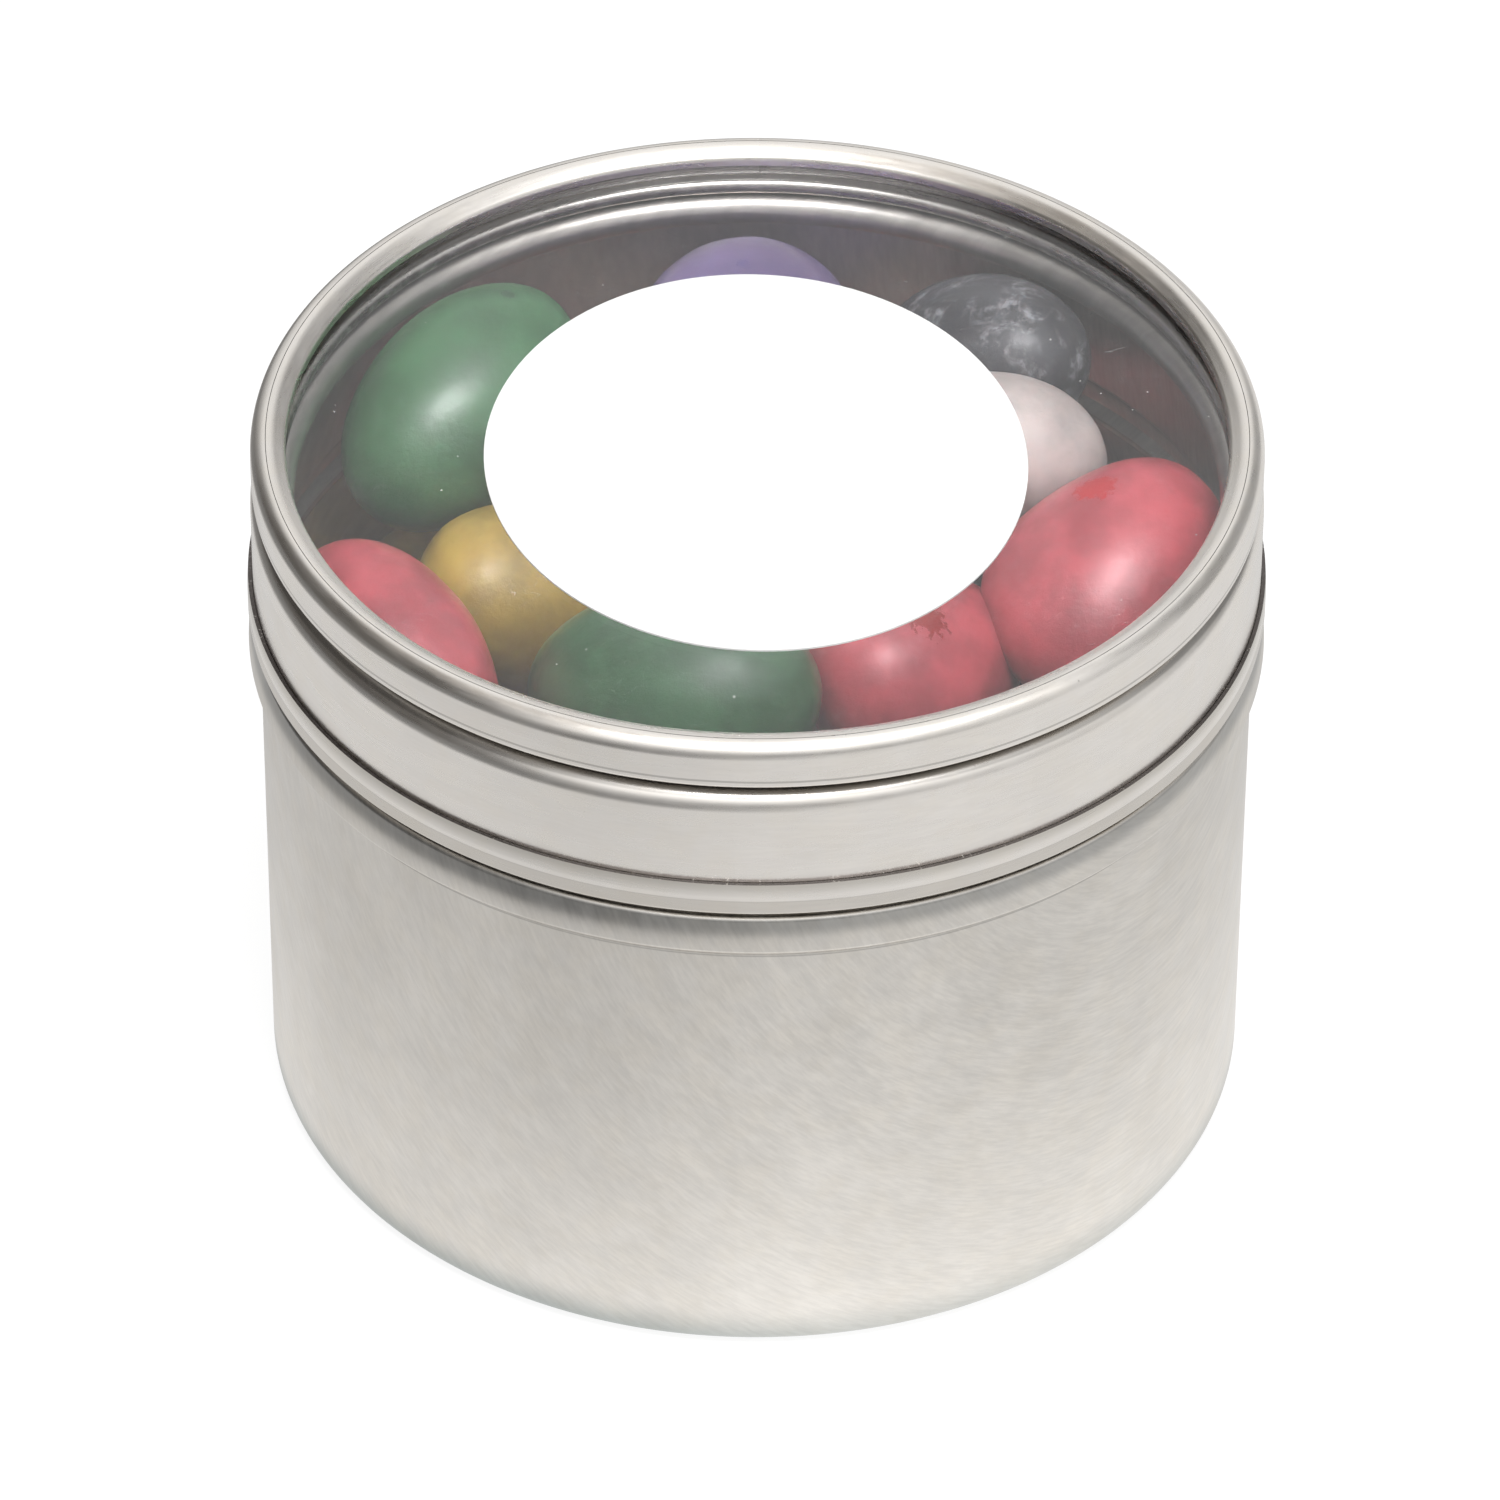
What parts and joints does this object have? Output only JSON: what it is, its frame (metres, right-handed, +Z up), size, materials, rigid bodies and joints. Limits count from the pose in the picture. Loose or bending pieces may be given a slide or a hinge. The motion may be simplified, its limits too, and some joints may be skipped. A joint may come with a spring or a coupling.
{
  "type": "window lid tin",
  "caption": "Round drawn tin with a lift-off lid that has a clear window, a rolled hem and a blank oval label, filled with jelly beans.",
  "frame": {"origin": "centre of the base, on the surface the tin stands on", "axes": "+Z up along the tin axis, -Y towards the viewer, +X to the viewer's right"},
  "size_m": [0.0642, 0.0642, 0.0487],
  "materials": {
    "tin_metal": "satin tinplate",
    "lid_metal": "satin tinplate",
    "window_clear": "clear plastic, faint haze",
    "label_blank": "blank white paper",
    "bean_green": "polished sugar shell",
    "bean_dark_green": "polished sugar shell",
    "bean_purple": "polished sugar shell",
    "bean_black": "polished sugar shell",
    "bean_white": "polished sugar shell",
    "bean_red": "polished sugar shell",
    "bean_yellow": "polished sugar shell"
  },
  "bodies": {
    "tin": {"bean_layer_1_inner_1": "bean_red", "bean_layer_1_inner_2": "bean_yellow", "bean_layer_1_inner_3": "bean_green", "bean_layer_1_ring_1": "bean_white", "bean_layer_1_ring_2": "bean_purple", "bean_layer_1_ring_3": "bean_dark_green", "bean_layer_1_ring_4": "bean_black", "bean_layer_1_ring_5": "bean_red", "bean_layer_1_ring_6": "bean_yellow", "bean_layer_1_ring_7": "bean_green", "bean_layer_2_inner_1": "bean_white", "bean_layer_2_inner_2": "bean_purple", "bean_layer_2_inner_3": "bean_dark_green", "bean_layer_2_ring_1": "bean_black", "bean_layer_2_ring_2": "bean_red", "bean_layer_2_ring_3": "bean_yellow", "bean_layer_2_ring_4": "bean_green", "bean_layer_2_ring_5": "bean_white", "bean_layer_2_ring_6": "bean_purple", "bean_layer_2_ring_7": "bean_dark_green", "bean_top_black": "bean_black", "bean_top_dark_green": "bean_dark_green", "bean_top_green": "bean_green", "bean_top_hidden": "bean_white", "bean_top_purple": "bean_purple", "bean_top_red_front": "bean_red", "bean_top_red_left": "bean_red", "bean_top_red_right": "bean_red", "bean_top_white": "bean_white", "bean_top_yellow": "bean_yellow", "tin_body": "tin_metal"},
    "lid": {"lid_rim": "lid_metal", "window": "window_clear", "label": "label_blank"}
  },
  "joints": [
    {"name": "lid_lift", "type": "slide", "parent": "tin", "child": "lid", "axis": [0, 0, 1], "range_m": [0, 0.045]}
  ]
}
